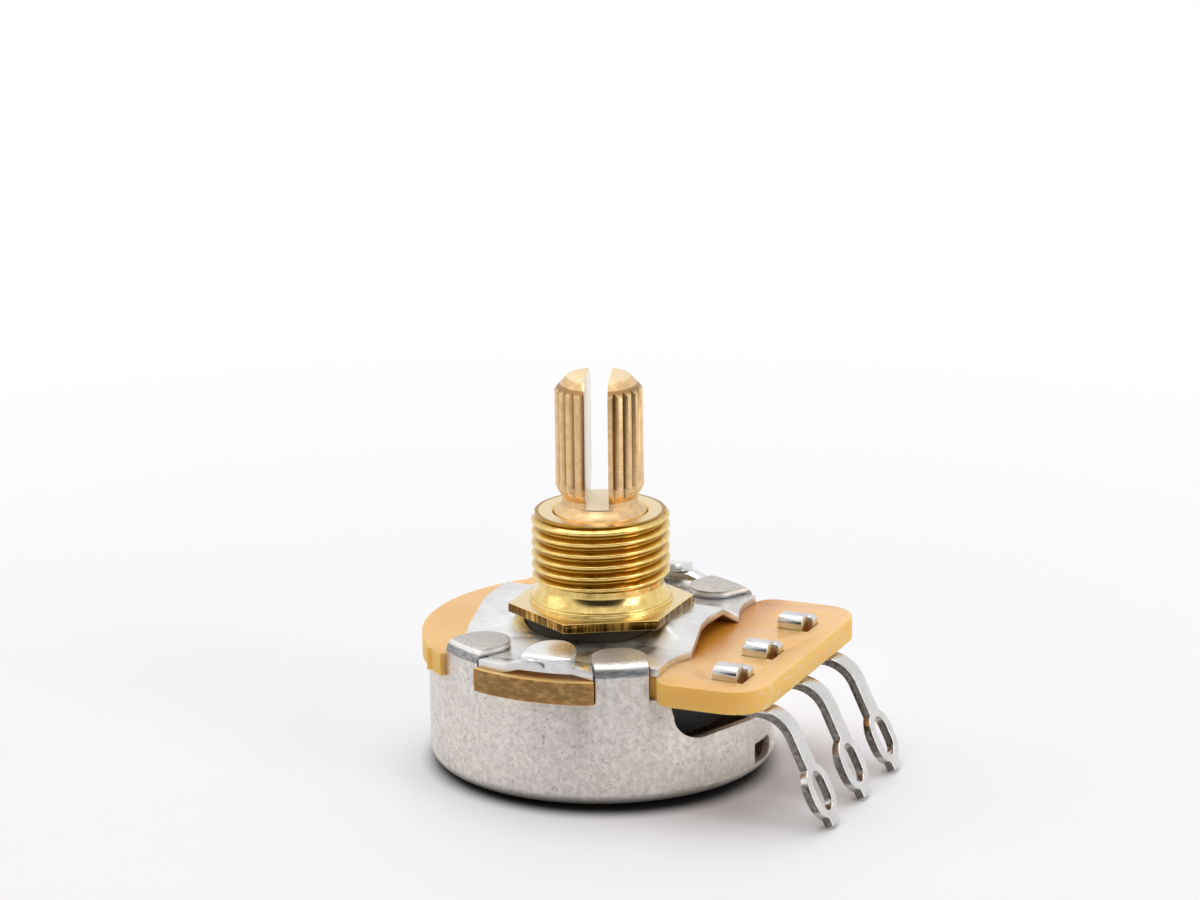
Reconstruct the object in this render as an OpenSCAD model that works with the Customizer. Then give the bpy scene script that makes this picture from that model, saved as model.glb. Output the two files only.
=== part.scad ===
// Panel potentiometer with a split splined shaft, standing on the back of its can.
// The origin is on the shaft axis at the can's back face, +Z runs up the shaft,
// and +X points to the side of the terminals. All sizes are in millimetres.

/* [Can] */
// Outside radius of the can
can_r = 11.9; // [11.4:0.1:12.2]
// Height of the can's rim, which carries the terminal board
can_h = 7.35; // [7.1:0.05:9]
// Thickness of the can's sheet
can_t = 0.5; // [0.4:0.05:0.6]
// Outer radius of the rounded edge between the wall and the back
can_edge_r = 1.0; // [0.7:0.1:1.4]

/* [Can tabs] */
// Width of each of the four tabs that fold over the mounting plate
tab_w = 3.6; // [3:0.1:4.2]
// Angle of the tabs to the terminal side
tab_angle = 60.0; // [58:0.1:62]
// Distance of the rounded tab tips from the shaft axis
tab_tip_r = 8.1; // [8:0.1:9]
// Outer radius of the fold at the top of each tab
tab_fold_r = 0.9; // [0.7:0.05:1.1]

/* [Can openings] */
// Width of the opening in the wall above the terminals' side, at the rim
window_w = 17.2; // [15:0.1:17.4]
// Width of that opening at its lower edge
window_low_w = 16.2; // [14:0.1:16.4]
// Height of that opening's lower edge
window_z = 4.2; // [4:0.05:4.8]
// Radius of that opening's lower corners
window_corner_r = 1.8; // [0.8:0.1:1.9]
// Angle between the terminal side and the middle of each pressed flat
flat_angle = 20.2; // [18:0.1:24]
// Half of the angle that a pressed flat spans
flat_half_angle = 11.8; // [8:0.1:12]
// Height at which the pressed flats begin
flat_z = 0.8; // [0.7:0.05:1.2]

/* [Rotation stop] */
// Width of the hole in the wall from which the stop tab is bent inwards
stop_w = 2.7; // [2.2:0.1:3]
// Height of the stop tab, and of its hole
stop_h = 1.45; // [1:0.05:1.6]
// Height of the hole's lower edge
stop_z = 0.85; // [0.7:0.05:1]
// Turn of the shaft from its middle position to each stop, in degrees
half_turn = 150; // [130:1:155]

/* [Terminal board] */
// Thickness of the board
board_t = 1.5875; // [1.2:0.0125:1.8]
// How far the board's round end stands out over the can's wall
board_lip = 0.45; // [0.2:0.05:0.6]
// How far the board's straight end stands out beyond the can's wall
board_reach = 3.45; // [3.3:0.05:4]
// Width of the board's terminal end
board_w = 20.1; // [19.6:0.1:20.6]
// Radius of the two corners at the terminal end
board_corner_r = 2.5; // [1:0.1:3]
// Where the terminal end of the board starts, beside the tab notches
board_shoulder_x = 7.8; // [7.75:0.05:8.2]
// Radius of the board's shoulders beside the tab notches
board_shoulder_r = 1.45; // [1:0.05:1.6]
// Radius of the board's middle hole
board_hole_r = 5.2; // [4.8:0.1:5.2]

/* [Mounting plate] */
// Thickness of the plate
plate_t = 0.55; // [0.45:0.05:0.7]
// Half of the plate's width at its feet
foot_half_w = 7.3; // [7.1:0.05:7.4]
// Half of the plate's width at its narrowest place
waist_half_w = 7.6; // [7.4:0.05:7.9]
// Half of the plate's width at its shoulders
shoulder_half_w = 8.5; // [8.1:0.05:8.7]
// Distance of the feet's narrow necks from the middle line
foot_neck_y = 6.8; // [6.4:0.1:7.2]
// Distance of the places where the feet start to widen from the middle line
foot_flare_y = 5.5; // [5.2:0.1:5.9]
// Height of the platform that carries the bushing, above the board
platform_rise = 0.81; // [0.7:0.01:1]
// Gap between the riveted rim and the round raised seat under the flange
seat_gap = 0.15; // [0.1:0.05:0.2]
// Where the gentle front slope leaves the front foot
slope_front_foot_y = -4.4; // [-5:0.1:-4]
// Where the gentle front slope meets the platform
slope_front_top_y = -1.0; // [-2:0.1:-0.8]
// Where the steep back slope leaves the platform
slope_back_top_y = 3.0; // [2.6:0.1:3.2]
// Where the steep back slope meets the back foot
slope_back_foot_y = 4.1; // [3.8:0.1:4.6]

/* [Locating lugs] */
// Width of each locating lug, which is folded back over the plate's rim
lug_w = 3.5; // [2.8:0.1:3.6]
// Sideways place of the front lug's middle
front_lug_x = 1.0; // [0.4:0.1:1.2]
// Sideways place of the back lug's middle
back_lug_x = 0.2; // [-0.4:0.1:1]
// Distance of the lugs' rounded tips from the shaft axis
lug_tip_y = 9.2; // [8.8:0.1:9.6]
// Angle at which the lugs rise towards the shaft
lug_angle = 10; // [6:1:14]
// How far the rim below each lug is lifted off the board
rim_lift = 0.42; // [0.3:0.02:0.46]
// Width of the lifted stretch of rim
rim_lift_w = 3.8; // [3.6:0.1:4]
// Length of the lifted rim towards the shaft
rim_lift_l = 1.6; // [1:0.1:2]
// Width of each slope at the ends of the lifted rim
rim_ramp_w = 1.3; // [0.8:0.1:1.5]

/* [Bushing] */
// Outside radius of the bushing's thread
thread_r = 4.7625; // [4.7:0.0125:4.8]
// Height of the bushing above the plate's platform
bushing_h = 7.045; // [6:0.005:9.5]
// Distance across the flats of the hexagonal flange
hex_af = 11.11; // [10.8:0.01:11.3]
// Thickness of the hexagonal flange
hex_t = 0.65; // [0.6:0.05:1]
// Radius of the low round step on the flange
step_r = 4.95; // [4.9:0.01:5.1]
// Height of the low round step
step_h = 0.3; // [0.1:0.05:0.4]
// Depth of the flare at the top of the bore
bore_flare = 0.15; // [0.1:0.01:0.2]
// Radius of the relief groove below the thread
relief_r = 4.2; // [4.1:0.05:4.4]
// Height of the relief groove's lower edge above the flange
relief_z = 1.15; // [0.9:0.05:1.3]
// Width of the relief groove
relief_w = 0.35; // [0.2:0.05:0.6]
// Size of the chamfer at the top of the thread
thread_chamfer = 0.305; // [0.2:0.005:0.4]
// Radius of the bushing's neck in the plate
neck_r = 4.0; // [3.8:0.05:4.2]
// Radius of the riveted rim below the plate
rivet_r = 4.6; // [4.4:0.05:4.7]
// Height of the riveted rim
rivet_h = 0.3; // [0.2:0.05:0.35]

/* [Shaft] */
// Radius of the shaft in the bushing
shaft_r = 3.175; // [3:0.025:3.2]
// Radius of the splined end, over the splines
spline_r = 3.0; // [2.9:0.05:3.05]
// Number of splines
spline_n = 24; // [18:1:30]
// Depth of the grooves between the splines
spline_depth = 0.27; // [0.1:0.01:0.3]
// Width of each groove at the outside, as a share of the spline pitch
spline_open = 0.62; // [0.3:0.01:0.9]
// Radius of the narrow neck below the splines
shaft_neck_r = 2.59; // [2.4:0.01:2.65]
// Height of the neck's lower edge above the bushing
shaft_neck_z = 0.55; // [0.3:0.05:0.8]
// Length of the narrow neck
shaft_neck_l = 0.5; // [0.3:0.05:0.8]
// Length of the cone between the neck and the full splines
spline_run_in = 0.7; // [0.4:0.05:1]
// Length of the splined end, between its two cones
spline_l = 6.78; // [5:0.01:9]
// Height of the cone at the top of the shaft
tip_cone_h = 0.9; // [0.5:0.05:1]
// Radius of the flat top of the shaft
tip_r = 2.2; // [2:0.05:2.4]
// Width of the slot across the splined end
slot_w = 1.6; // [1.2:0.05:1.7]
// Height of the slot's floor above the bushing
slot_z = 0.65; // [0.4:0.05:1.5]
// Direction of the slot
slot_angle = 109; // [90:1:130]

/* [Retaining ring] */
// Thickness of the retaining ring
ring_t = 0.5; // [0.4:0.05:0.5]
// Outside radius of the retaining ring
ring_r = 4.3; // [3.9:0.05:4.5]
// Radius of the shaft at the bottom of the ring's groove
groove_r = 2.6; // [2.4:0.05:2.7]
// Width of the ring's open side
ring_gap = 3.4; // [2.5:0.1:4]

/* [Rotor] */
// Height of the disc's lower face
rotor_z = 3.6; // [3:0.05:3.8]
// Thickness of the disc
rotor_t = 2.4; // [2.2:0.05:2.4]
// Radius of the hub
rotor_hub_r = 5.2; // [4.5:0.1:6]
// How far the hub reaches below the disc
rotor_hub_h = 0.7; // [0.3:0.05:1]
// How far the stop lug stands out from the disc
rotor_lug_l = 1.5; // [1.3:0.05:1.6]
// How far the stop lug reaches below the disc
rotor_lug_h = 2.2; // [1.6:0.05:2.3]
// Radius of the shaft's lower end in the rotor
drive_r = 2.5; // [2.3:0.05:2.6]
// Distance of the driving flat from the shaft axis
drive_flat = 1.9; // [1.7:0.05:2.1]
// Height of the riveted head below the rotor
head_h = 0.3; // [0.2:0.05:0.5]
// How far the riveted head stands out beyond the shaft's lower end
head_rim = 0.4; // [0.2:0.05:0.5]

/* [Wiper and tracks] */
// Thickness of the printed tracks
track_t = 0.1; // [0.06:0.01:0.12]
// How far the resistive track's inner edge lies inside the rotor's rim
track_inset = 1.4; // [1.3:0.05:1.5]
// Width of the resistive track
track_w = 1.6; // [1.4:0.05:1.7]
// Distance between the resistive track and the collector track
track_gap = 0.8; // [0.7:0.05:0.9]
// Width of the collector track
collector_w = 1.2; // [1.1:0.05:1.3]
// Angle from the terminal side to each end of the resistive track
track_end_angle = 25; // [24:0.5:27]
// Angle that each contact pad covers at the end of the resistive track
pad_angle = 8; // [6:0.5:8.5]
// Width of the printed leads
lead_w = 1.2; // [0.8:0.1:1.3]
// Thickness of the wiper's spring sheet
wiper_t = 0.2; // [0.15:0.05:0.3]
// Width of each contact finger
finger_w = 0.9; // [0.6:0.1:1]
// Length of each contact finger from its base to its contact
finger_l = 2.4; // [2:0.1:2.6]
// Width of the opening in the wiper's base around the fingers
finger_slot_w = 4.4; // [4.2:0.1:4.8]
// Half of the angle that the wiper's base spans
wiper_half_angle = 38; // [36:1:45]

/* [Terminals] */
// Thickness of the terminals
term_t = 0.6; // [0.5:0.05:0.65]
// Distance between neighbouring terminals
term_pitch = 5.95; // [5.8:0.05:6]
// Sideways place of the middle terminal
term_mid_y = -1.15; // [-1.3:0.05:-1]
// Width of the strip of each terminal
term_w = 1.6; // [1.4:0.05:1.8]
// How far the middle terminal's strip lies to the back of its eyelet
middle_shift = 0.4; // [0:0.05:0.5]
// Length of the foot under the board, on the shaft's side of the crimp legs
term_foot_l = 0.65; // [0.3:0.05:0.7]
// Distance from the board's end back to where the terminals start to bend down
term_bend_back = 0.75; // [0.5:0.05:0.9]
// Outer radius of the bend
term_bend_r = 2.85; // [2.5:0.05:3]
// Angle through which the terminals are bent
term_bend_angle = 65; // [60:1:70]
// Length of the straight hanging part, to the tip
term_drop = 6.55; // [6:0.05:6.6]
// Width of the solder eyelet
eyelet_w = 3.4; // [3:0.05:3.6]
// Distance of the eyelet's middle from the bend
eyelet_s = 4.15; // [4:0.05:4.3]
// Length of the straight sides of the eyelet
eyelet_straight = 0.45; // [0.2:0.05:0.6]
// Width of the eyelet's hole
eyelet_hole_w = 1.75; // [1.4:0.05:1.9]
// Length of the straight sides of the eyelet's hole
eyelet_hole_straight = 1.0; // [0.6:0.05:1.1]
// Width of the cut-off stub at the tip
stub_w = 1.3; // [1:0.05:1.5]
// Distance from the board's end back to the wide crimp leg
leg_back = 3.95; // [3.85:0.05:4.05]
// Width of the wide crimp leg
leg_w = 1.75; // [1.5:0.05:1.8]
// Reach of the wide crimp leg's folded head over the board
leg_reach = 1.25; // [1.1:0.05:1.3]
// Height of that head above the board
leg_h = 0.9; // [0.7:0.05:1]
// Radius of the head's rounded outer edge
leg_round_r = 0.55; // [0.3:0.05:0.6]
// Distance from the board's end back to the narrow crimp leg's outer face
narrow_leg_back = 1.8; // [1.7:0.05:1.9]
// Width of the narrow crimp leg
narrow_leg_w = 0.8; // [0.7:0.05:0.9]
// Thickness of the narrow crimp leg, which is hammered flat
narrow_leg_t = 0.35; // [0.25:0.05:0.45]
// Height of the narrow crimp leg's top above the board
narrow_leg_h = 0.62; // [0.5:0.02:0.7]
// Reach of the narrow crimp leg over the board
narrow_leg_reach = 2.15; // [1.8:0.05:2.2]
// How far the middle terminal's legs stand to the front of its strip's side
middle_leg_shift = 0.5; // [0.3:0.05:0.6]

/* [Clearances] */
// Gap between the shaft and the bushing's bore, on the radius
bore_gap = 0.025; // [0.02:0.005:0.05]
// Gap between pieces that turn past each other
run_gap = 0.05; // [0.03:0.01:0.08]
// Gap between the tabs and their notches
notch_gap = 0.15; // [0.1:0.01:0.2]
// Gap between the terminals' legs and their slots in the board
leg_gap = 0.08; // [0.05:0.01:0.1]
// Gap between parts that are pushed together on one body
fit_gap = 0.02; // [0.01:0.005:0.03]
// Gap between the rotor's lug and the can's wall
rotor_lug_gap = 0.9; // [0.85:0.05:1]
// Angle left between the rotor's lug and the stop at each end of the turn
stop_gap_angle = 0.4; // [0.3:0.1:1]

/* [Hidden] */
$fn = 96;

board_z = can_h;
board_r = can_r + board_lip;
board_end_x = can_r + board_reach;
board_top = board_z + board_t;
plate_r = can_r;
foot_top = board_top + plate_t;
platform_z = board_top + platform_rise;
seat_z = platform_z + plate_t;
hex_top = seat_z + hex_t;
bushing_top = seat_z + bushing_h;
bushing_low = platform_z - rivet_h;
bore_r = shaft_r + bore_gap;
boss_in_r = rivet_r + seat_gap;
boss_r = boss_in_r + plate_t;
tab_top = foot_top + can_t + fit_gap;
tab_angles = [tab_angle, 180 - tab_angle, 180 + tab_angle, -tab_angle];
rim_low = board_top + rim_lift;
notch_r = sqrt(pow(can_r - tab_fold_r, 2) - pow(tab_w / 2, 2));
notch_half_w = tab_w / 2 + notch_gap;
notch_edge_r = can_r - can_t - notch_gap;
notch_x = notch_edge_r * cos(tab_angle) + notch_half_w * sin(tab_angle);
notch_y = notch_edge_r * sin(tab_angle) - notch_half_w * cos(tab_angle);
rotor_lug_r = can_r - can_t - rotor_lug_gap;
rotor_r = rotor_lug_r - rotor_lug_l;
rotor_top = rotor_z + rotor_t;
rotor_low = rotor_z - rotor_hub_h;
track_z = board_z - track_t;
track_in_r = rotor_r - track_inset;
track_mid = track_in_r + track_w / 2;
track_out_r = track_in_r + track_w;
collector_out_r = track_in_r - track_gap;
collector_mid = collector_out_r - collector_w / 2;
collector_in_r = collector_out_r - collector_w;
term_y = [for (i = [-1 : 1]) term_mid_y + i * term_pitch];
term_bend_x = board_end_x - term_bend_back;
leg_x = board_end_x - leg_back;
lead_end_x = leg_x - lead_w / 2;
leg_y = [for (i = [0 : 2]) term_y[i] - term_w / 2 - (i == 1 ? middle_leg_shift : 0)];
leg_low = track_z - term_t / 2;
leg_seat = board_top + fit_gap;
leg_top = board_top + leg_h;
narrow_leg_x = board_end_x - narrow_leg_back;
past = 1;
wide = 40;

// Plane shapes that the pieces share

// Half section of a round cup's outside, with a rounded lower edge
module cup_section(r, h, edge_r) {
    square([r - edge_r, h]);
    translate([0, edge_r]) square([r, h - edge_r]);
    translate([r - edge_r, edge_r]) circle(edge_r);
}

// Sector of a ring, spread evenly about an angle
module ring_sector(r_in, r_out, middle, half) {
    far = 2 * r_out;
    intersection() {
        difference() {
            circle(r_out);
            circle(r_in);
        }
        rotate(middle) polygon(concat([[0, 0]],
            [for (k = [-2 : 2]) far * [cos(half * k / 2), sin(half * k / 2)]]));
    }
}

// Straight bar with two round ends, along Y
module round_bar(width, straight) {
    square([width, straight], center = true);
    for (side = [-1, 1]) translate([0, side * straight / 2]) circle(width / 2);
}

// Printed lead between two places
module lead(from, to, width) {
    run = to - from;
    translate(from) rotate(atan2(run[1], run[0])) translate([0, -width / 2])
        square([norm(run), width]);
}

// Cut-outs for the can's tabs, in a sheet between two heights
module tab_notches(z_low, z_high) {
    for (a = tab_angles) rotate(a)
        translate([notch_r, -notch_half_w, z_low]) cube([can_r, 2 * notch_half_w, z_high - z_low]);
}

// Can

// Two blocks beyond the pressed flats, moved in by a depth
module flat_blocks(depth) {
    away = can_r * cos(flat_half_angle) - depth;
    for (side = [-1, 1]) rotate(side * flat_angle)
        translate([away, -can_r, flat_z + depth]) cube([can_r, 2 * can_r, wide]);
}

// Body of the cup, or of its hollow, with the pressed flats
module cup_body(r, z, edge_r, depth) {
    difference() {
        translate([0, 0, z]) rotate_extrude() cup_section(r, can_h + depth - z, edge_r);
        flat_blocks(depth);
    }
}

// Opening in the wall on the terminal side, seen along X
module window_outline() {
    low = window_low_w / 2;
    polygon([
        [-window_w / 2, can_h + past], [-low, window_z + window_corner_r],
        [-low + window_corner_r, window_z], [low - window_corner_r, window_z],
        [low, window_z + window_corner_r], [window_w / 2, can_h + past]
    ]);
    for (side = [-1, 1])
        translate([side * (low - window_corner_r), window_z + window_corner_r]) circle(window_corner_r);
}

// Hole from which the stop tab is bent, round at the end that the tab's tip leaves
module stop_hole_outline() {
    round_r = stop_h / 2;
    translate([-stop_w / 2, stop_z]) {
        square([stop_w - round_r, stop_h]);
        translate([stop_w - round_r, round_r]) circle(round_r);
    }
}

// Shapes that run along X, drawn as seen from the terminal side
module along_x(x, length) {
    translate([x, 0, 0]) rotate([90, 0, 90]) linear_extrude(length) children();
}

// Shapes that run along Y, drawn in X and Z and spread evenly about a place
module along_y(y, width) {
    translate([0, y + width / 2, 0]) rotate([90, 0, 0]) linear_extrude(width) children();
}

// Outline of one tab, seen from above
module tab_outline() {
    round_r = tab_w / 2;
    translate([tab_tip_r + round_r, 0]) circle(round_r);
    translate([tab_tip_r + round_r, -round_r]) square([can_r - tab_tip_r, tab_w]);
}

// Section of the wall's top, folded over towards the shaft
module tab_section() {
    fold_x = can_r - tab_fold_r;
    fold_z = tab_top - tab_fold_r;
    translate([can_r - can_t, can_h - can_t]) square([can_t, fold_z - can_h + can_t]);
    translate([tab_tip_r - past, tab_top - can_t]) square([fold_x - tab_tip_r + past, can_t]);
    intersection() {
        translate([fold_x, fold_z]) square(tab_fold_r);
        difference() {
            translate([fold_x, fold_z]) circle(tab_fold_r);
            translate([fold_x, fold_z]) circle(tab_fold_r - can_t);
        }
    }
}

module tabs() {
    intersection() {
        rotate_extrude() tab_section();
        for (a = tab_angles) rotate(a) linear_extrude(tab_top + past) tab_outline();
    }
}

// Tab that is bent inwards from the side of its hole in the wall, and stops the rotor's lug
module stop_tab() {
    out_x = can_r * cos(asin(stop_w / 2 / can_r)) - can_t / 2;
    translate([stop_in_r, -stop_w / 2, stop_z]) cube([out_x - stop_in_r, can_t, stop_h]);
}

module can() {
    color([0.74, 0.72, 0.69]) union() {
        difference() {
            cup_body(can_r, 0, can_edge_r, 0);
            cup_body(can_r - can_t, can_t, can_edge_r - can_t, can_t);
            along_x(can_r / 2, can_r) window_outline();
            along_x(can_r / 2, can_r) stop_hole_outline();
        }
        tabs();
        stop_tab();
    }
}

// Terminal board

module board_outline() {
    corner = [board_end_x, board_w / 2] - board_corner_r * [1, 1];
    shoulder = [board_shoulder_x + board_shoulder_r, board_w / 2 - board_shoulder_r];
    difference() {
        circle(board_r);
        for (side = [0, 1]) mirror([0, side]) translate([notch_x, shoulder[1]]) square(board_w);
    }
    square([2 * shoulder[0], 2 * shoulder[1]], center = true);
    translate([shoulder[0], -board_w / 2]) square([corner[0] - shoulder[0], board_w]);
    translate([corner[0], -corner[1]]) square([board_corner_r, 2 * corner[1]]);
    for (side = [-1, 1]) {
        translate([corner[0], side * corner[1]]) circle(board_corner_r);
        translate([shoulder[0], side * shoulder[1]]) circle(board_shoulder_r);
    }
}

// Slots in the board for the crimp legs of the terminals
module leg_slots() {
    length = narrow_leg_x - leg_x + 2 * leg_gap;
    width = leg_reach + narrow_leg_w + fit_gap + 2 * leg_gap;
    for (y = leg_y) translate([leg_x - leg_gap, y - leg_gap, board_z - past])
        cube([length, width, board_t + 2 * past]);
}

module terminal_board() {
    color([0.87, 0.62, 0.32]) difference() {
        translate([0, 0, board_z]) linear_extrude(board_t) board_outline();
        translate([0, 0, board_z - past]) cylinder(board_t + 2 * past, r = board_hole_r);
        tab_notches(board_z - past, board_top + past);
        leg_slots();
    }
}

// Mounting plate

// Points of one corner of the plate, from its rim to its neck
function plate_foot(side) = [
    [foot_half_w, side * 2 * foot_half_w], [foot_half_w, side * notch_y],
    [foot_half_w + 0.6, side * notch_y], [foot_half_w + 0.5, side * foot_neck_y],
    [foot_half_w + 0.7, side * foot_flare_y]
];

// Outline of the plate, narrower at the platform, with shoulders at the feet
module plate_outline() {
    back = plate_foot(1);
    middle = [
        [shoulder_half_w, slope_front_foot_y], [waist_half_w + 0.2, slope_front_top_y],
        [waist_half_w, 0.6], [waist_half_w + 0.2, slope_back_top_y], [shoulder_half_w, slope_back_foot_y]
    ];
    left = [
        [-foot_half_w, 2 * foot_half_w], [-foot_half_w, foot_neck_y], [-waist_half_w, foot_flare_y],
        [-shoulder_half_w, slope_back_top_y], [-shoulder_half_w - 0.1, 1.0],
        [-shoulder_half_w + 0.1, slope_front_top_y], [-waist_half_w - 0.4, slope_front_foot_y],
        [-waist_half_w, -foot_flare_y], [-foot_half_w, -foot_neck_y], [-foot_half_w, -2 * foot_half_w]
    ];
    intersection() {
        circle(plate_r);
        polygon(concat(plate_foot(-1), middle, [for (i = [4 : -1 : 0]) back[i]], left));
    }
}

// Side view of the folded plate, or of all above its lower face, drawn in Y and Z
module plate_section(height) {
    low = [
        [-2 * plate_r, board_top], [slope_front_foot_y, board_top], [slope_front_top_y, platform_z],
        [slope_back_top_y, platform_z], [slope_back_foot_y, board_top], [2 * plate_r, board_top]
    ];
    polygon(concat(low, [for (i = [len(low) - 1 : -1 : 0]) low[i] + [0, height]]));
}

// Round seat for the flange, raised to the platform where the plate slopes down
module plate_boss() {
    intersection() {
        translate([0, 0, board_top]) cylinder(seat_z - board_top, r = boss_r);
        along_x(-plate_r, 2 * plate_r) plate_section(wide);
    }
}

// Front view of the lifted stretch of rim, drawn in X and Z
module rim_section() {
    half = rim_lift_w / 2;
    low = [[-half - rim_ramp_w, board_top], [-half, rim_low], [half, rim_low], [half + rim_ramp_w, board_top]];
    polygon(concat(low, [for (i = [3 : -1 : 0]) low[i] + [0, plate_t]]));
}

// Outline of the front lug and its rounded tip, seen from above
module lug_outline() {
    round_r = lug_w / 2;
    translate([0, -lug_tip_y - round_r]) circle(round_r);
    translate([-round_r, -plate_r]) square([lug_w, plate_r - lug_tip_y - round_r]);
}

// Side view of the front lug, folded back over the rim, drawn in Y and Z
module lug_section() {
    translate([plate_t - plate_r, rim_low + plate_t]) {
        circle(plate_t);
        rotate(lug_angle) square([plate_r - lug_tip_y, plate_t]);
    }
}

// Lifted rim on the front side with its lug, at a sideways place
module lug_rim(x) {
    intersection() {
        translate([x, 0, 0]) {
            along_y(-plate_r, 2 * rim_lift_l) rim_section();
            intersection() {
                along_x(-plate_r, 2 * plate_r) lug_section();
                linear_extrude(wide) lug_outline();
            }
        }
        cylinder(wide, r = plate_r);
    }
}

// Space in the plate's foot that the lifted rim leaves free
module rim_opening(x) {
    half = rim_lift_w / 2 + rim_ramp_w;
    translate([x - half, -plate_r - past, board_top - past])
        cube([2 * half, rim_lift_l + past - fit_gap, plate_t + 2 * past]);
}

module mounting_plate() {
    color([0.83, 0.83, 0.82]) difference() {
        union() {
            difference() {
                intersection() {
                    translate([0, 0, board_top - past]) linear_extrude(wide) plate_outline();
                    along_x(-plate_r, 2 * plate_r) plate_section(plate_t);
                }
                rim_opening(front_lug_x);
                mirror([0, 1, 0]) rim_opening(back_lug_x);
            }
            plate_boss();
            lug_rim(front_lug_x);
            mirror([0, 1, 0]) lug_rim(back_lug_x);
        }
        cylinder(platform_z, r = boss_in_r);
        cylinder(seat_z + past, r = neck_r + fit_gap);
        tab_notches(board_top - past, seat_z + past);
    }
}

// Bushing

// Half section of the bushing without its hexagon and its bore
module bushing_section() {
    step_top = hex_top + step_h;
    hex_mid = hex_top - hex_t / 2;
    relief_low = hex_top + relief_z;
    relief_top = relief_low + relief_w;
    polygon([
        [0, bushing_low], [rivet_r, bushing_low], [rivet_r, platform_z], [neck_r, platform_z],
        [neck_r, hex_mid], [step_r, hex_mid], [step_r, step_top], [thread_r, step_top],
        [relief_r, relief_low], [relief_r, relief_top], [thread_r, relief_top + thread_r - relief_r],
        [thread_r, bushing_top - thread_chamfer], [thread_r - thread_chamfer, bushing_top],
        [0, bushing_top]
    ]);
}

module bushing() {
    color([0.80, 0.62, 0.28]) difference() {
        union() {
            rotate_extrude() bushing_section();
            translate([0, 0, seat_z]) rotate(30) cylinder(hex_t, r = hex_af / 2 / cos(30), $fn = 6);
        }
        translate([0, 0, bushing_low - past]) cylinder(bushing_top - bushing_low + 2 * past, r = bore_r);
        translate([0, 0, bushing_top - bore_flare])
            cylinder(2 * bore_flare, r1 = bore_r, r2 = bore_r + 2 * bore_flare);
    }
}

// Shaft

shaft_low = rotor_low - head_h;
groove_z = bushing_low - run_gap - ring_t;
neck_low = bushing_top + shaft_neck_z;
neck_top = neck_low + shaft_neck_l;
spline_low = neck_top + spline_run_in;
spline_top = spline_low + spline_l;
shaft_top = spline_top + tip_cone_h;

// Half section of the shaft without its splines, slot and driving flat
module shaft_section() {
    groove_top = groove_z + ring_t + fit_gap;
    head_r = drive_r + head_rim;
    polygon([
        [0, shaft_low], [head_r, shaft_low], [head_r, rotor_low], [drive_r, rotor_low],
        [drive_r, rotor_top], [shaft_r, rotor_top], [shaft_r, groove_z - fit_gap],
        [groove_r, groove_z - fit_gap], [groove_r, groove_top], [shaft_r, groove_top],
        [shaft_r, bushing_top], [shaft_neck_r, neck_low], [shaft_neck_r, neck_top],
        [spline_r, spline_low], [spline_r, spline_top], [tip_r, shaft_top], [0, shaft_top]
    ]);
}

// Grooves between the splines, each a notch that is open to the outside
module spline_grooves() {
    floor_r = spline_r - spline_depth;
    flare = spline_r * sin(180 / spline_n * spline_open) / spline_depth;
    for (i = [0 : spline_n - 1]) rotate(i * 360 / spline_n)
        translate([0, 0, neck_top]) linear_extrude(shaft_top - neck_low)
            polygon([[floor_r, 0], [floor_r + past, -past * flare], [floor_r + past, past * flare]]);
}

module shaft() {
    color([0.80, 0.68, 0.46]) difference() {
        rotate_extrude() shaft_section();
        spline_grooves();
        rotate(slot_angle) translate([-shaft_r - past, -slot_w / 2, bushing_top + slot_z])
            cube([2 * (shaft_r + past), slot_w, shaft_top]);
        translate([drive_flat, -shaft_r, rotor_low]) cube([shaft_r, 2 * shaft_r, rotor_top - rotor_low]);
    }
}

module retaining_ring() {
    color([0.45, 0.45, 0.47]) translate([0, 0, groove_z]) difference() {
        cylinder(ring_t, r = ring_r);
        translate([0, 0, -past]) cylinder(ring_t + 2 * past, r = groove_r + fit_gap);
        translate([0, -ring_gap / 2, -past]) cube([ring_r + past, ring_gap, ring_t + 2 * past]);
    }
}

// Rotor and wiper

// The lug stands opposite the stop tab, and spans what the turn leaves of the circle
stop_in_r = rotor_r;
tab_far_angle = asin(stop_w / 2 / stop_in_r);
tab_near_angle = asin((stop_w / 2 - can_t) / rotor_lug_r);
rotor_lug_angle = 180 - (tab_far_angle + tab_near_angle) / 2;
rotor_lug_half = 180 - half_turn - (tab_far_angle - tab_near_angle) / 2 - stop_gap_angle;

module rotor() {
    hole_r = drive_r + fit_gap;
    color([0.07, 0.07, 0.08]) difference() {
        union() {
            translate([0, 0, rotor_z]) cylinder(rotor_t, r = rotor_r);
            translate([0, 0, rotor_low]) cylinder(rotor_top - rotor_low, r = rotor_hub_r);
            translate([0, 0, rotor_z - rotor_lug_h]) linear_extrude(rotor_lug_h + rotor_t / 2)
                ring_sector(rotor_r - past, rotor_lug_r, rotor_lug_angle, rotor_lug_half);
        }
        translate([0, 0, rotor_low - past]) intersection() {
            cylinder(rotor_top - rotor_low + 2 * past, r = hole_r);
            translate([-hole_r, -hole_r, 0]) cube([hole_r + drive_flat + fit_gap, 2 * hole_r, wide]);
        }
    }
}

// Finger that rises from the wiper's base, touches a track and curls down again
module wiper_finger(r) {
    top = track_z - run_gap;
    low = rotor_top;
    curl = (top - low) / 2;
    along_x(-r - finger_w / 2, finger_w) polygon([
        [-finger_l, low], [-wiper_t, top - wiper_t], [wiper_t, top - wiper_t], [curl, low + curl],
        [curl + wiper_t, low + curl], [2 * wiper_t, top], [-2 * wiper_t, top], [-finger_l, low + wiper_t]
    ]);
}

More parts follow.
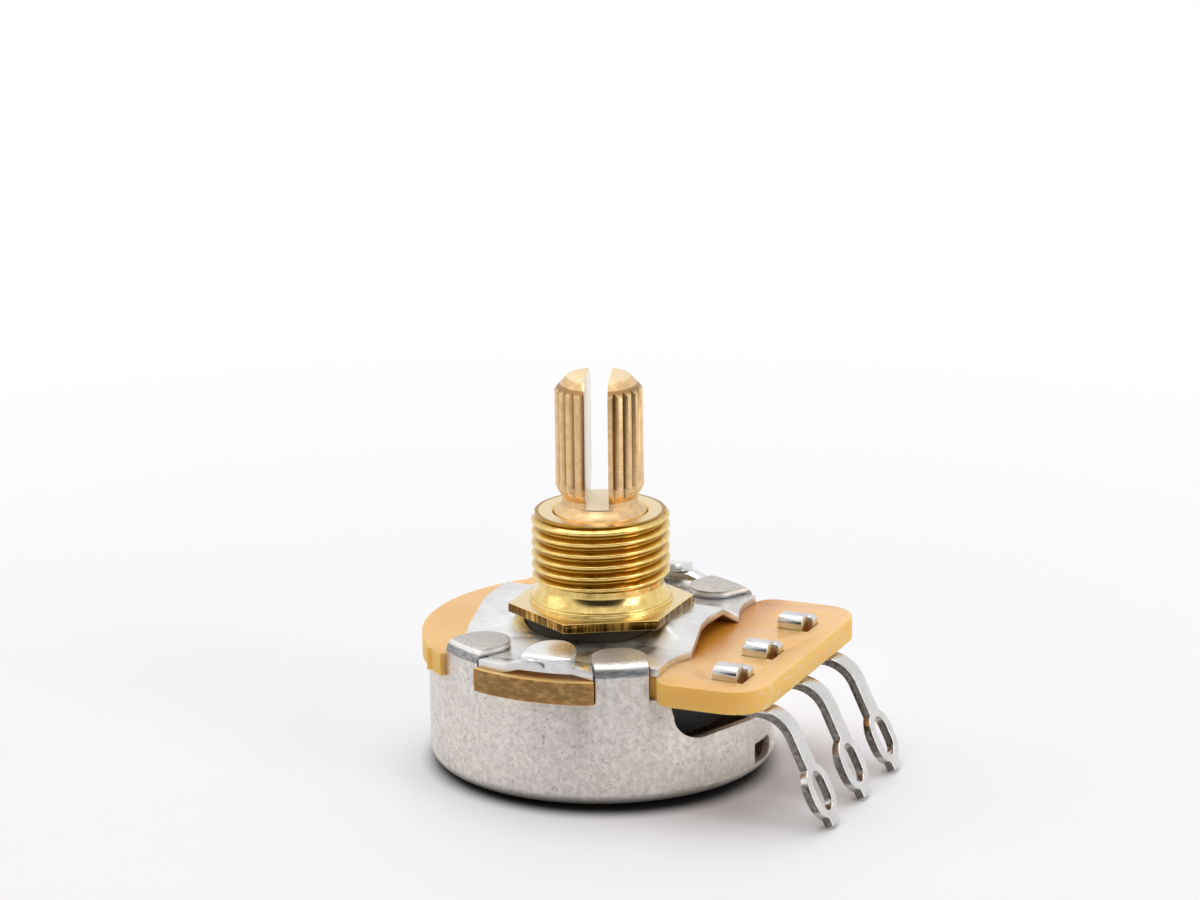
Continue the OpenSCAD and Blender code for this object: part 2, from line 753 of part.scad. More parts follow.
module wiper() {
    base_in_r = shaft_r + 2 * wiper_t;
    base_out_r = rotor_r - wiper_t;
    slot_in_r = collector_mid - finger_w;
    color([0.75, 0.62, 0.40]) union() {
        translate([0, 0, rotor_top]) linear_extrude(wiper_t) difference() {
            ring_sector(base_in_r, base_out_r, 180, wiper_half_angle);
            translate([-rotor_r, -finger_slot_w / 2]) square([rotor_r - slot_in_r, finger_slot_w]);
        }
        wiper_finger(track_mid);
        wiper_finger(collector_mid);
    }
}

// Tracks printed on the underside of the board

module print_layer() {
    translate([0, 0, track_z]) linear_extrude(track_t) children();
}

// Outline of the resistive track
module track_outline() {
    difference() {
        circle(track_out_r);
        circle(track_in_r);
        ring_sector(0, 2 * track_out_r, 0, track_end_angle);
    }
}

module resistive_track() {
    color([0.10, 0.10, 0.11]) print_layer() track_outline();
}

// Pad at one end of the resistive track, with its lead to a terminal
module contact_pad(side, y) {
    middle = side * (track_end_angle - pad_angle / 2);
    color([0.78, 0.78, 0.78]) print_layer() difference() {
        union() {
            ring_sector(track_in_r, track_out_r, middle, pad_angle / 2);
            lead(track_mid * [cos(middle), sin(middle)], [lead_end_x, y], lead_w);
        }
        track_outline();
    }
}

module collector_track() {
    color([0.78, 0.78, 0.78]) print_layer() difference() {
        union() {
            circle(collector_out_r);
            lead([0, term_y[1]], [lead_end_x, term_y[1]], lead_w);
        }
        circle(collector_in_r);
    }
}

// Terminals

// Side view of a terminal's strip, from its foot round the bend and down to the tip
module strip_section() {
    top = track_z;
    far = 2 * term_bend_r;
    turn = 90 - term_bend_angle;
    translate([leg_x - term_foot_l, top - term_t]) square([term_bend_x - leg_x + term_foot_l, term_t]);
    translate([term_bend_x, top - term_bend_r]) {
        difference() {
            circle(term_bend_r);
            circle(term_bend_r - term_t);
            translate([-far, -far]) square([far, 2 * far]);
            rotate(turn) translate([-far, -far]) square([2 * far, far]);
        }
        rotate(turn) translate([term_bend_r - term_t, -term_drop]) square([term_t, term_drop]);
    }
}

// Flat outline of the hanging part, with the strip running on upwards beside the eyelet's middle
module drop_outline(shift) {
    up = term_bend_r + board_end_x;
    difference() {
        union() {
            translate([shift - term_w / 2, -eyelet_s]) square([term_w, eyelet_s + up]);
            translate([0, -eyelet_s]) round_bar(eyelet_w, eyelet_straight);
            translate([-stub_w / 2, -term_drop - past]) square([stub_w, term_drop + past - eyelet_s]);
        }
        translate([0, -eyelet_s]) round_bar(eyelet_hole_w, eyelet_hole_straight);
    }
}

// Wide crimp leg, folded tight on itself into a head with a rounded outer edge, from the side
module wide_leg_section() {
    translate([0, leg_low]) square([term_t, leg_seat - leg_low]);
    translate([0, leg_seat]) square([leg_reach, leg_top - leg_round_r - leg_seat]);
    translate([leg_round_r, leg_seat]) square([leg_reach - leg_round_r, leg_top - leg_seat]);
    translate([leg_round_r, leg_top - leg_round_r]) circle(leg_round_r);
}

// Narrow crimp leg, which stands up and folds over with a rounded corner, from the side
module narrow_leg_section() {
    fold_z = board_top + narrow_leg_h - narrow_leg_t;
    translate([0, leg_low]) square([narrow_leg_t, fold_z - leg_low]);
    translate([narrow_leg_t, fold_z]) square([narrow_leg_reach - narrow_leg_t, narrow_leg_t]);
    intersection() {
        translate([narrow_leg_t, fold_z]) circle(narrow_leg_t);
        translate([0, fold_z]) square(narrow_leg_t);
    }
}

// The wide leg folds over sideways, and the narrow one back towards the shaft
module crimp_legs(near) {
    narrow_y = near + leg_reach + fit_gap;
    along_x(leg_x, leg_w) translate([near, 0]) wide_leg_section();
    along_y(narrow_y + narrow_leg_w / 2, narrow_leg_w)
        translate([narrow_leg_x, 0]) mirror([1, 0]) narrow_leg_section();
}

module terminal(y, near, shift) {
    foot_w = leg_reach + fit_gap + narrow_leg_w;
    color([0.80, 0.80, 0.80]) union() {
        intersection() {
            along_y(y, eyelet_w + past) strip_section();
            translate([term_bend_x, y, track_z - term_bend_r]) rotate([0, term_bend_angle, 0])
                rotate([0, 0, 90]) translate([0, 0, -wide]) linear_extrude(2 * wide) drop_outline(shift);
        }
        translate([leg_x - term_foot_l, near, track_z - term_t])
            cube([narrow_leg_x - leg_x + term_foot_l, foot_w, term_t]);
        crimp_legs(near);
    }
}

module front_terminal() { terminal(term_y[0], leg_y[0], 0); }
module middle_terminal() { terminal(term_y[1], leg_y[1], middle_shift); }
module back_terminal() { terminal(term_y[2], leg_y[2], 0); }

can();
terminal_board();
mounting_plate();
bushing();
shaft();
retaining_ring();
rotor();
wiper();
resistive_track();
contact_pad(-1, term_y[0]);  // front_contact_pad
contact_pad(1, term_y[2]);  // back_contact_pad
collector_track();
front_terminal();
middle_terminal();
back_terminal();
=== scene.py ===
"""Looks of a panel potentiometer that stands on its can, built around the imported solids.

All sizes are in millimetres until they go into a mesh. The frame is that of the solids: the origin is on
the shaft axis in the plane of the can's back, +Z runs up the shaft and +X points to the terminals.
"""
import logging
from dataclasses import dataclass, field
from enum import Enum

import bmesh
import bpy
import numpy as np
from mathutils import Matrix, Vector

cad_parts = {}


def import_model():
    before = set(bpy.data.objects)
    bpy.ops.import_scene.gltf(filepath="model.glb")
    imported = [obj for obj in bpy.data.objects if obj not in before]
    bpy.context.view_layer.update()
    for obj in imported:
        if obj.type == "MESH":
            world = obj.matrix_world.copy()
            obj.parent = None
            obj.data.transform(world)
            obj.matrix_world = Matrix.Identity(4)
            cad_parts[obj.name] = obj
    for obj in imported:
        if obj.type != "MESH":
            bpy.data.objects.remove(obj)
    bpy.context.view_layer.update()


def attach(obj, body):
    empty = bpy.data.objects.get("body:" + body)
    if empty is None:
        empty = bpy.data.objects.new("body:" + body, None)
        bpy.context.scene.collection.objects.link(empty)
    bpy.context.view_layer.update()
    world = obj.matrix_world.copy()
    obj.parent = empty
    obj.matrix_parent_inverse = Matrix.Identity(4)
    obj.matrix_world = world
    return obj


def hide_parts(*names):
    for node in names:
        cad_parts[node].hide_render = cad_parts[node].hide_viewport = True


MM = 0.001
CORNER_STEPS = 4
MERGE_GAP = 0.002
FLAT_DEGREES = 0.6
# The Mix node has sockets for each kind of value: these are the factor's and the colours'.
MIX_FACTOR, MIX_LOW, MIX_HIGH, MIX_OUT = 0, 6, 7, 2
Colour = tuple[float, float, float]
Socket = bpy.types.NodeSocket
log = logging.getLogger("potentiometer")


class Slot(Enum):
    """Names of the materials that the pieces made here carry."""

    PLATED_STEEL = "plated_steel"
    LAMINATE = "laminate"
    TIN_PLATE = "tin_plate"
    BRASS = "brass"
    SHAFT_BRASS = "shaft_brass"
    TERMINAL_TIN = "terminal_tin"


class Body(Enum):
    """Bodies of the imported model."""

    HOUSING = "housing"
    SHAFT_ROTOR = "shaft_rotor"


# Node sheets and shared effects


class Sheet:
    """A node tree that is filled with nodes, each given its inputs as it is placed."""

    def __init__(self, tree: bpy.types.NodeTree) -> None:
        """Keeps the tree of a material, a world or a node group."""
        self.tree = tree

    def put(self, kind: str, settings: dict | None = None, **inputs: object) -> bpy.types.Node:
        """Places a node.

        Args:
            kind: The node's type, without its common first part.
            settings: Properties of the node.
            **inputs: Values or sockets for its inputs, by name, with _ for a blank.

        Returns:
            The new node.
        """
        node = self.tree.nodes.new("ShaderNode" + kind)
        for key, value in (settings or {}).items():
            setattr(node, key, value)
        self.fill(node, **inputs)
        return node

    def fill(self, node: bpy.types.Node, **inputs: object) -> None:
        """Gives inputs their values or links them, by name, with _ for a blank."""
        for key, value in inputs.items():
            self.feed(node.inputs[key.replace("_", " ")], value)

    def feed(self, socket: Socket, value: object) -> None:
        """Gives an input its value, or links it where the value is a socket.

        Args:
            socket: The input.
            value: A number, a vector, a colour or a socket.
        """
        if isinstance(value, Socket):
            self.tree.links.new(value, socket)
        elif isinstance(value, tuple) and socket.type == "RGBA":
            socket.default_value = (*value, 1.0)
        else:
            socket.default_value = value

    def mix(self, factor: object, low: object, high: object) -> Socket:
        """Mixes two colours.

        Args:
            factor: Share of the second colour.
            low: First colour.
            high: Second colour.

        Returns:
            The mixed colour.
        """
        node = self.put("Mix", {"data_type": "RGBA"})
        self.feed(node.inputs[MIX_FACTOR], factor)
        self.feed(node.inputs[MIX_LOW], low)
        self.feed(node.inputs[MIX_HIGH], high)
        return node.outputs[MIX_OUT]

    def remap(self, value: object, low: float, high: float, to_low: float = 0.0,
              to_high: float = 1.0) -> Socket:
        """Maps a span of values smoothly onto another.

        Args:
            value: The value.
            low: Start of its span.
            high: End of its span.
            to_low: What the start becomes.
            to_high: What the end becomes.

        Returns:
            The mapped value.
        """
        return self.put("MapRange", {"interpolation_type": "SMOOTHSTEP"}, Value=value, From_Min=low,
                        From_Max=high, To_Min=to_low, To_Max=to_high).outputs[0]

    def maths(self, operation: str, first: object, second: object = 0.0) -> Socket:
        """Does one sum.

        Args:
            operation: The sum's name.
            first: First value.
            second: Second value, where the sum has one.

        Returns:
            The result.
        """
        node = self.put("Math", {"operation": operation})
        self.feed(node.inputs[0], first)
        self.feed(node.inputs[1], second)
        return node.outputs[0]

    def times(self, first: object, second: object) -> Socket:
        """Multiplies two values."""
        return self.maths("MULTIPLY", first, second)

    def noise(self, vector: object, scale: object, detail: float = 3.0, rough: float = 0.5) -> Socket:
        """Places a noise pattern.

        Args:
            vector: Where it is read.
            scale: Its scale.
            detail: Number of finer octaves.
            rough: Share that each finer octave keeps.

        Returns:
            The noise's value.
        """
        return self.put("TexNoise", None, Vector=vector, Scale=scale, Detail=detail,
                        Roughness=rough).outputs[0]

    def stretch(self, vector: object, scale: tuple[float, float, float], turn: float = 0.0) -> Socket:
        """Turns a vector about Z and then scales it.

        Args:
            vector: The vector.
            scale: Factors along X, Y and Z.
            turn: The turn in degrees.

        Returns:
            The new vector.
        """
        turned = self.put("Mapping", {"vector_type": "TEXTURE"}, Vector=vector,
                          Rotation=(0.0, 0.0, np.radians(turn)))
        return self.put("Mapping", None, Vector=turned.outputs[0], Scale=scale).outputs[0]

    def parts(self, vector: object) -> bpy.types.bpy_prop_collection:
        """Splits a vector into its X, Y and Z."""
        return self.put("SeparateXYZ", None, Vector=vector).outputs

    def facing(self) -> bpy.types.bpy_prop_collection:
        """X, Y and Z of the way that the surface faces, on the object's axes."""
        return self.parts(self.put("TexCoord").outputs["Normal"])

    def radius(self, vector: object) -> Socket:
        """Measures how far a place is from the shaft axis.

        Args:
            vector: The place.

        Returns:
            The distance.
        """
        parts = self.parts(vector)
        level = self.put("CombineXYZ", None, X=parts[0], Y=parts[1], Z=0.0).outputs[0]
        return self.put("VectorMath", {"operation": "LENGTH"}, Vector=level).outputs["Value"]

    def compare(self, operation: str, vector: object, other: tuple[float, float, float]) -> Socket:
        """Compares a vector with a fixed one.

        Args:
            operation: DOT_PRODUCT or DISTANCE.
            vector: The vector.
            other: The fixed one.

        Returns:
            The result.
        """
        node = self.put("VectorMath", {"operation": operation}, Vector=vector)
        node.inputs[1].default_value = other
        return node.outputs["Value"]

    def bump(self, shader: bpy.types.Node, strength: float, depth: float, height: Socket) -> None:
        """Bends a shader's normal by a height.

        Args:
            shader: The shader.
            strength: Strength of the bump.
            depth: How deep a height of 1 stands.
            height: The height.
        """
        node = self.put("Bump", None, Strength=strength, Distance=depth * MM, Height=height)
        self.fill(shader, Normal=node.outputs[0])


class Effect:
    """A shader node group that several finishes share."""

    def __init__(self, name: str, inputs: dict[str, float], outputs: tuple[str, ...]) -> None:
        """Makes the group with its sockets.

        Args:
            name: The group's name.
            inputs: Number inputs with their usual values. A vector in millimetres comes first.
            outputs: Names of the number outputs.
        """
        self.group = bpy.data.node_groups.new(name, "ShaderNodeTree")
        face = self.group.interface
        face.new_socket(name="Vector", in_out="INPUT", socket_type="NodeSocketVector")
        for key, value in inputs.items():
            face.new_socket(name=key, in_out="INPUT", socket_type="NodeSocketFloat").default_value = value
        for key in outputs:
            face.new_socket(name=key, in_out="OUTPUT", socket_type="NodeSocketFloat")
        self.sheet = Sheet(self.group)
        self.start = self.group.nodes.new("NodeGroupInput").outputs
        self.end = self.group.nodes.new("NodeGroupOutput").inputs

    def noise(self, times: float, detail: float, rough: float, vector: Socket | None = None) -> Socket:
        """Places a noise pattern at a multiple of the group's scale.

        Args:
            times: The multiple.
            detail: Number of finer octaves.
            rough: Share that each finer octave keeps.
            vector: Where it is read, which is the group's own vector if none is given.

        Returns:
            The noise's value.
        """
        place = self.start["Vector"] if vector is None else vector
        return self.sheet.noise(place, self.sheet.times(self.start["Scale"], times), detail, rough)

    def give(self, name: str, value: Socket) -> None:
        """Links a value to one of the group's outputs."""
        self.group.links.new(value, self.end[name])

    def place(self, sheet: Sheet, vector: object, **inputs: object) -> bpy.types.bpy_prop_collection:
        """Places the group in a material.

        Args:
            sheet: The material's sheet.
            vector: Object coordinates in millimetres.
            **inputs: The number inputs, by name.

        Returns:
            The group's outputs.
        """
        node = sheet.tree.nodes.new("ShaderNodeGroup")
        node.node_tree = self.group
        sheet.fill(node, Vector=vector, **inputs)
        return node.outputs


class Effects:
    """The shared effects, each made once."""

    def __init__(self) -> None:
        """Makes every group."""
        self.speckle = self._speckle()
        self.scuffs = self._scuffs()
        self.lathe = self._lathe()
        self.brush = self._brush()

    @staticmethod
    def _speckle() -> Effect:
        """Fine grain, rare dark specks, a slow mottle, and shallow dents of middle size.

        Returns:
            The effect.
        """
        made = Effect("speckle", {"Scale": 1.0}, ("Grain", "Specks", "Mottle", "Dents"))
        made.give("Grain", made.sheet.remap(made.noise(2.6, 5.0, 0.72), 0.30, 0.70))
        made.give("Specks", made.sheet.remap(made.noise(3.1, 4.0, 0.7), 0.58, 0.70))
        made.give("Dents", made.sheet.times(made.noise(1.2, 2.0, 0.5), 3.0))
        made.give("Mottle", made.sheet.remap(made.noise(0.42, 2.0, 0.55), 0.32, 0.68))
        return made

    @staticmethod
    def _scuffs() -> Effect:
        """Thin curved lines, where a slow noise crosses its middle value, kept to a few patches.

        Returns:
            The effect.
        """
        made = Effect("scuffs", {"Scale": 1.0, "Width": 0.004, "Share": 0.6}, ("Lines",))
        sheet = made.sheet
        away = sheet.maths("ABSOLUTE", sheet.maths("SUBTRACT", made.noise(0.55, 1.0, 0.4), 0.5))
        line = sheet.put("MapRange", None, Value=away, From_Min=0.0, From_Max=made.start["Width"],
                         To_Min=1.0, To_Max=0.0).outputs[0]
        kept = sheet.maths("GREATER_THAN", made.noise(0.8, 0.0, 0.5), made.start["Share"])
        made.give("Lines", sheet.times(line, kept))
        return made

    @staticmethod
    def _lathe() -> Effect:
        """Rings left by a turning tool, from noise that depends only on radius and height, and wear.

        Returns:
            The effect.
        """
        made = Effect("lathe rings", {"Scale": 1.0}, ("Rings", "Wear"))
        sheet, vector = made.sheet, made.start["Vector"]
        turned = sheet.put("CombineXYZ", None, X=sheet.radius(vector), Y=0.0, Z=sheet.parts(vector)[2])
        made.give("Rings", made.noise(14.0, 3.0, 0.6, turned.outputs[0]))
        made.give("Wear", made.noise(1.6, 3.0, 0.6))
        return made

    @staticmethod
    def _brush() -> Effect:
        """Short strokes along the vector's X, from a stretched noise, and slow patches.

        Returns:
            The effect.
        """
        made = Effect("brushing", {"Scale": 1.0}, ("Strokes", "Patches"))
        streaked = made.sheet.stretch(made.start["Vector"], (0.35, 6.0, 6.0))
        made.give("Strokes", made.noise(1.6, 3.0, 0.6, streaked))
        made.give("Patches", made.sheet.remap(made.noise(0.5, 2.0, 0.5), 0.35, 0.65))
        return made


# Finishes


def new_material(name: str) -> tuple[bpy.types.Material, Sheet, bpy.types.Node, Socket]:
    """Starts a material.

    Args:
        name: The material's name.

    Returns:
        The material, its sheet, its shader, and object coordinates in millimetres.
    """
    material = bpy.data.materials.new(name)
    material.use_nodes = True
    sheet = Sheet(material.node_tree)
    shader = material.node_tree.nodes["Principled BSDF"]
    place = sheet.put("TexCoord").outputs["Object"]
    vector = sheet.put("Mapping", None, Vector=place, Scale=(1 / MM, 1 / MM, 1 / MM)).outputs[0]
    return material, sheet, shader, vector


def toned(colour: Colour, factor: float) -> Colour:
    """Makes a colour darker or paler by a factor."""
    return tuple(min(1.0, part * factor) for part in colour)


@dataclass(frozen=True)
class PlatedSteel:
    """Dull plated sheet: fine grain, dark specks, brown stains in patches and a few thin scuffs."""

    name: str
    colour: Colour = (0.82, 0.77, 0.715)
    dark: Colour = (0.25, 0.215, 0.18)
    rough: float = 0.42
    bump: float = 0.30
    metal: float = 0.75
    fold: tuple[float, float] | None = None
    # Painted light on a fold: a dark reflection with paler streaks on its face, and a highlight on the
    # bend.
    fold_dark_reflection: Colour = (0.16, 0.17, 0.18)
    fold_pale_reflection: Colour = (0.36, 0.37, 0.39)
    bend_highlight: Colour = (0.86, 0.85, 0.82)

    def folded(self, sheet: Sheet, vector: Socket, grain: Socket, base: Socket) -> Socket:
        """Paints a dark reflection on a fold's face and a highlight on its bend, and makes the top darker.

        Args:
            sheet: The material's sheet.
            vector: Object coordinates in millimetres.
            grain: The fine grain.
            base: The colour.

        Returns:
            The colour with the fold.
        """
        low, high = self.fold
        height = sheet.parts(vector)[2]
        # The fold's face gets a painted dark reflection in a streaked band.
        band = sheet.times(sheet.remap(height, low - 0.08, low + 0.06),
                           sheet.remap(height, high + 0.05, high - 0.05))
        strokes = sheet.noise(sheet.stretch(vector, (1.0, 1.0, 8.0)), 1.5, 3.0, 0.6)
        streaked = sheet.mix(sheet.remap(strokes, 0.35, 0.65), self.fold_dark_reflection, self.fold_pale_reflection)
        base = sheet.mix(sheet.times(band, 0.85), base, streaked)
        # Painted highlight on the bend; the top above it is made darker.
        base = sheet.mix(sheet.remap(height, high, high + 0.08, 0.0, 0.6), base, self.bend_highlight)
        darkened = sheet.mix(grain, toned(self.colour, 0.55), toned(self.colour, 0.72))
        return sheet.mix(sheet.remap(height, high + 0.20, high + 0.27), base, darkened)

    def make(self, effects: Effects) -> bpy.types.Material:
        """Builds the material.

        Args:
            effects: The shared effects.

        Returns:
            The material.
        """
        material, sheet, shader, vector = new_material(self.name)
        spots = effects.speckle.place(sheet, vector, Scale=1.0)
        lines = effects.scuffs.place(sheet, vector, Scale=1.6, Width=0.0045, Share=0.50)["Lines"]
        grain, low_tone = spots["Grain"], toned(self.colour, 0.80)
        base = sheet.mix(grain, low_tone, toned(self.colour, 1.12))
        base = sheet.mix(sheet.times(spots["Mottle"], 0.25), base, low_tone)
        stain = sheet.times(spots["Specks"], sheet.remap(spots["Mottle"], 0.2, 0.9, 0.25, 0.75))
        base = sheet.mix(stain, base, self.dark)
        base = sheet.mix(sheet.times(lines, 0.8), base, self.dark)
        if self.fold:
            base = self.folded(sheet, vector, grain, base)
        satin = sheet.remap(grain, 0.0, 1.0, self.rough + 0.08, self.rough - 0.08)
        sheet.fill(shader, Base_Color=base, Roughness=satin, Metallic=self.metal)
        raised = sheet.maths("SUBTRACT", sheet.maths("ADD", grain, spots["Dents"]), lines)
        sheet.bump(shader, self.bump, 0.03, raised)
        return material


@dataclass(frozen=True)
class TinPlate:
    """Bright tinned sheet with short brush strokes, soft grey patches and a little grain.

    Sheared faces, which face along Y, may be dull below a height. The wall of the plate's seat, near the
    axis and below a height, may have painted shade: a dark colour, and a rough finish.
    """

    name: str
    colour: Colour = (0.84, 0.835, 0.82)
    dark: Colour = (0.36, 0.35, 0.34)
    rough: float = 0.20
    turn: float = 20.0
    sheared: Colour | None = None
    sheared_top: float = 7.0
    specks: float = 0.15
    shade_r: float = 0.0
    shade_top: float = 10.28
    shade: Colour = (0.07, 0.06, 0.045)
    shade_rough: float = 0.7

    def make(self, effects: Effects) -> bpy.types.Material:
        """Builds the material.

        Args:
            effects: The shared effects.

        Returns:
            The material.
        """
        material, sheet, shader, vector = new_material(self.name)
        brushed = effects.brush.place(sheet, sheet.stretch(vector, (1.0, 1.0, 1.0), self.turn), Scale=1.0)
        spots = effects.speckle.place(sheet, vector, Scale=1.3)
        height = sheet.parts(vector)[2]
        base = sheet.mix(sheet.remap(brushed["Strokes"], 0.35, 0.65, 0.0, 0.20), self.colour, self.dark)
        base = sheet.mix(sheet.times(brushed["Patches"], 0.15), base, self.dark)
        base = sheet.mix(sheet.times(spots["Specks"], self.specks), base, self.dark)
        satin = sheet.remap(spots["Mottle"], 0.0, 1.0, self.rough - 0.04, self.rough + 0.08)
        if self.sheared:
            side = sheet.remap(sheet.maths("ABSOLUTE", sheet.facing()[1]), 0.80, 0.93)
            cut = sheet.times(side, sheet.maths("LESS_THAN", height, self.sheared_top))
            base = sheet.mix(cut, base, sheet.mix(spots["Grain"], self.sheared, self.dark))
        # Painted shade on the seat's wall under the hexagon, made rough as well.
        if self.shade_r:
            under = sheet.times(sheet.maths("LESS_THAN", sheet.radius(vector), self.shade_r),
                                sheet.maths("LESS_THAN", height, self.shade_top))
            base = sheet.mix(under, base, self.shade)
            satin = sheet.maths("MAXIMUM", satin, sheet.times(under, self.shade_rough))
        sheet.fill(shader, Base_Color=base, Roughness=satin, Metallic=1.0)
        raised = sheet.maths("ADD", brushed["Strokes"], sheet.times(spots["Grain"], 0.15))
        sheet.bump(shader, 0.09, 0.02, raised)
        return material


@dataclass(frozen=True)
class TurnedBrass:
    """Turned brass with fine tool rings and a slight unevenness of the colour.

    Level faces are paler. A piece may have grooves with painted shade at the bottom, a painted dark
    reflection on its upright sides between two heights, and a sawn slot, given by its angle, half width and
    floor.
    """

    name: str
    colour: Colour = (0.89, 0.67, 0.25)
    deep: Colour = (0.62, 0.36, 0.08)
    rough: float = 0.13
    bump: float = 0.22
    slot: tuple[float, float, float] | None = None
    sides: tuple[float, float] | None = None
    valleys: tuple[float, float, float] | None = None
    flat: Colour = (0.84, 0.69, 0.44)
    # Painted shade at the bottoms of grooves.
    valley_shade: Colour = (0.38, 0.185, 0.008)
    sawn: Colour = (0.92, 0.86, 0.79)
    # Painted dark reflection on the hexagon's upright sides.
    darkened: Colour = (0.13, 0.062, 0.010)

    def valley_share(self, sheet: Sheet, vector: Socket) -> Socket:
        """Marks the bottoms of grooves, where the painted shade goes, between two radii and above a height.

        Args:
            sheet: The material's sheet.
            vector: Object coordinates in millimetres.

        Returns:
            1 at a groove's root and 0 at its crest.
        """
        root, crest, low = self.valleys
        radius = sheet.radius(vector)
        outside = sheet.times(sheet.maths("GREATER_THAN", radius, root - 0.1),
                              sheet.maths("GREATER_THAN", sheet.parts(vector)[2], low))
        return sheet.times(outside, sheet.remap(radius, crest - 0.03, root + 0.06))

    def side_share(self, sheet: Sheet, vector: Socket) -> Socket:
        """Marks the hexagon's upright faces, between two heights, for the painted dark reflection.

        Args:
            sheet: The material's sheet.
            vector: Object coordinates in millimetres.

        Returns:
            1 on those faces and 0 elsewhere.
        """
        height = sheet.parts(vector)[2]
        inside = sheet.times(sheet.maths("GREATER_THAN", height, self.sides[0]),
                             sheet.maths("LESS_THAN", height, self.sides[1]))
        return sheet.times(inside, sheet.remap(sheet.maths("ABSOLUTE", sheet.facing()[2]), 0.6, 0.3))

    def slot_share(self, sheet: Sheet, vector: Socket) -> Socket:
        """Marks the faces that the saw left in the shaft's slot.

        A place is in the slot where its distance from the slot's middle plane is under half of the slot's
        width and it lies above the slot's floor.

        Args:
            sheet: The material's sheet.
            vector: Object coordinates in millimetres.

        Returns:
            1 in the slot and 0 elsewhere.
        """
        turn, half, floor = self.slot
        across = (float(np.sin(np.radians(turn))), -float(np.cos(np.radians(turn))), 0.0)
        away = sheet.maths("ABSOLUTE", sheet.compare("DOT_PRODUCT", vector, across))
        return sheet.times(sheet.maths("LESS_THAN", away, half),
                           sheet.maths("GREATER_THAN", sheet.parts(vector)[2], floor))

    def make(self, effects: Effects) -> bpy.types.Material:
        """Builds the material.

        Args:
            effects: The shared effects.

        Returns:
            The material.
        """
        material, sheet, shader, vector = new_material(self.name)
        turned = effects.lathe.place(sheet, vector, Scale=1.0)
        base = sheet.mix(sheet.remap(turned["Wear"], 0.35, 0.70, 0.0, 0.45), self.colour, self.deep)
        if self.slot:
            base = sheet.mix(self.slot_share(sheet, vector), base, self.sawn)
        level = sheet.remap(sheet.facing()[2], 0.90, 0.98)
        base = sheet.mix(sheet.times(level, 0.8), base, self.flat)
        # Painted shade at the bottoms of grooves.
        if self.valleys:
            base = sheet.mix(sheet.times(self.valley_share(sheet, vector), 0.9), base, self.valley_shade)
        # Painted dark reflection, with streaks, on the hexagon's upright sides.
        if self.sides:
            streaks = sheet.noise(sheet.stretch(vector, (1.6, 1.6, 0.1)), 1.4, 2.0, 0.6)
            darkened = sheet.mix(sheet.remap(streaks, 0.45, 0.70), self.darkened, self.deep)
            base = sheet.mix(self.side_share(sheet, vector), base, darkened)
        ringed = sheet.remap(turned["Rings"], 0.3, 0.7, self.rough - 0.05, self.rough + 0.09)
        satin = sheet.maths("ADD", ringed, sheet.times(level, 0.14))
        sheet.fill(shader, Base_Color=base, Roughness=satin, Metallic=1.0)
        sheet.bump(shader, self.bump, 0.015, turned["Rings"])
        return material


